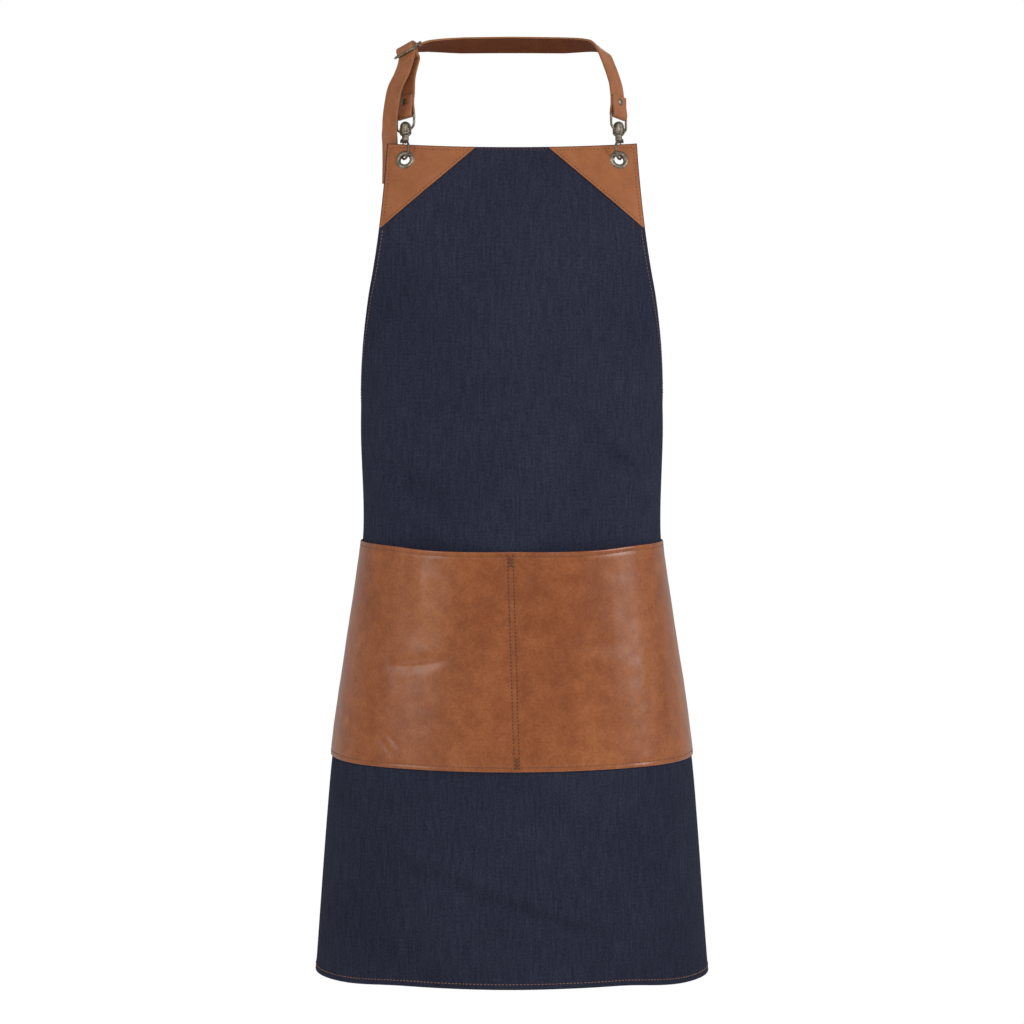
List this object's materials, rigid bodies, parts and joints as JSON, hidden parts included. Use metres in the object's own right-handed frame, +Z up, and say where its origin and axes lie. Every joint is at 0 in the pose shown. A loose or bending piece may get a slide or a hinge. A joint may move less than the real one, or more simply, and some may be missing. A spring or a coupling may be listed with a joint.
{
  "type": "bib apron",
  "caption": "Denim bib apron with a leather pocket panel and corner patches, hung from a buckled leather neck strap by swivel snap hooks.",
  "frame": {"origin": "middle of the neck strap's inner face at the back of the neck, where the apron hangs on a peg", "axes": "+Z up, -Y out of the apron's front, +X to the right seen from the front"},
  "size_m": [0.414, 0.1893, 0.9764],
  "materials": {
    "denim": "matte",
    "panel_leather": "satin",
    "strap_leather": "satin",
    "antique_brass": "satin",
    "spring_steel": "satin"
  },
  "bodies": {
    "neck_strap": {"neck_strap_long": "strap_leather", "neck_strap_short": "strap_leather", "neck_buckle": "antique_brass", "neck_rivet_caps": "antique_brass", "neck_rivet_backs": "antique_brass"},
    "apron": {"denim_panel": "denim", "pocket_panel": "panel_leather", "right_corner_patch": "panel_leather", "left_corner_patch": "panel_leather", "right_bib_eyelet": "antique_brass", "right_bib_eyelet_washer": "antique_brass", "right_waist_eyelet": "antique_brass", "right_waist_eyelet_washer": "antique_brass", "left_bib_eyelet": "antique_brass", "left_bib_eyelet_washer": "antique_brass", "left_waist_eyelet": "antique_brass", "left_waist_eyelet_washer": "antique_brass"},
    "waist_strap": {"waist_strap": "strap_leather", "waist_rivet_caps": "antique_brass", "waist_rivet_backs": "antique_brass", "right_waist_eye": "antique_brass", "left_waist_eye": "antique_brass"},
    "right_bib_eye": {"right_bib_eye": "antique_brass"},
    "right_bib_hook": {"right_bib_hook": "antique_brass", "right_bib_gate_pin": "antique_brass", "right_bib_gate_spring": "spring_steel"},
    "right_bib_gate": {"right_bib_gate": "antique_brass"},
    "left_bib_eye": {"left_bib_eye": "antique_brass"},
    "left_bib_hook": {"left_bib_hook": "antique_brass", "left_bib_gate_pin": "antique_brass", "left_bib_gate_spring": "spring_steel"},
    "left_bib_gate": {"left_bib_gate": "antique_brass"},
    "right_waist_hook": {"right_waist_hook": "antique_brass", "right_waist_gate_pin": "antique_brass", "right_waist_gate_spring": "spring_steel"},
    "right_waist_gate": {"right_waist_gate": "antique_brass"},
    "left_waist_hook": {"left_waist_hook": "antique_brass", "left_waist_gate_pin": "antique_brass", "left_waist_gate_spring": "spring_steel"},
    "left_waist_gate": {"left_waist_gate": "antique_brass"}
  },
  "joints": [
    {"name": "apron_swing", "type": "hinge", "parent": "neck_strap", "child": "apron", "pos_m": [0, -0.09058, -0.11879], "axis": [1, 0, 0], "range_deg": [-3, 4]},
    {"name": "right_bib_eye_rock", "type": "hinge", "parent": "neck_strap", "child": "right_bib_eye", "pos_m": [0.10919, -0.07605, -0.07409], "axis": [0.6616, 0.7132, -0.2317], "range_deg": [-0.8, 0.8]},
    {"name": "right_bib_hook_swivel", "type": "hinge", "parent": "right_bib_eye", "child": "right_bib_hook", "pos_m": [0.10919, -0.07605, -0.07409], "axis": [0, 0.309, 0.9511], "range_deg": [-1, 30]},
    {"name": "right_bib_gate_press", "type": "hinge", "parent": "right_bib_hook", "child": "right_bib_gate", "pos_m": [0.11111, -0.07954, -0.10114], "axis": [-0.9346, 0.3383, -0.1099], "range_deg": [0, 12], "stiffness_Nm_per_rad": 0.02, "springref_deg": -17.19},
    {"name": "left_bib_eye_rock", "type": "hinge", "parent": "neck_strap", "child": "left_bib_eye", "pos_m": [-0.10919, -0.07605, -0.07409], "axis": [-0.7596, 0.6186, -0.201], "range_deg": [-0.8, 0.8]},
    {"name": "left_bib_hook_swivel", "type": "hinge", "parent": "left_bib_eye", "child": "left_bib_hook", "pos_m": [-0.10919, -0.07605, -0.07409], "axis": [0, 0.309, 0.9511], "range_deg": [-30, 0]},
    {"name": "left_bib_gate_press", "type": "hinge", "parent": "left_bib_hook", "child": "left_bib_gate", "pos_m": [-0.11137, -0.07964, -0.1011], "axis": [-0.9147, -0.3843, 0.1249], "range_deg": [0, 12], "stiffness_Nm_per_rad": 0.02, "springref_deg": -17.19},
    {"name": "waist_strap_swing", "type": "hinge", "parent": "apron", "child": "waist_strap", "pos_m": [0, 0.0114, -0.49536], "axis": [1, 0, 0], "range_deg": [-20, 20]},
    {"name": "right_waist_hook_swivel", "type": "hinge", "parent": "waist_strap", "child": "right_waist_hook", "pos_m": [0.05796, 0.0114, -0.50513], "axis": [0.9781, 0, 0.2079], "range_deg": [-6, 6]},
    {"name": "right_waist_gate_press", "type": "hinge", "parent": "right_waist_hook", "child": "right_waist_gate", "pos_m": [0.08423, 0.006, -0.49981], "axis": [-0.2077, -0.0472, 0.9771], "range_deg": [0, 12], "stiffness_Nm_per_rad": 0.02, "springref_deg": -17.19},
    {"name": "left_waist_hook_swivel", "type": "hinge", "parent": "waist_strap", "child": "left_waist_hook", "pos_m": [-0.05796, 0.0114, -0.50513], "axis": [-0.9781, 0, 0.2079], "range_deg": [-6, 6]},
    {"name": "left_waist_gate_press", "type": "hinge", "parent": "left_waist_hook", "child": "left_waist_gate", "pos_m": [-0.08423, 0.006, -0.49981], "axis": [-0.2077, 0.0472, -0.9771], "range_deg": [0, 12], "stiffness_Nm_per_rad": 0.02, "springref_deg": -17.19}
  ]
}
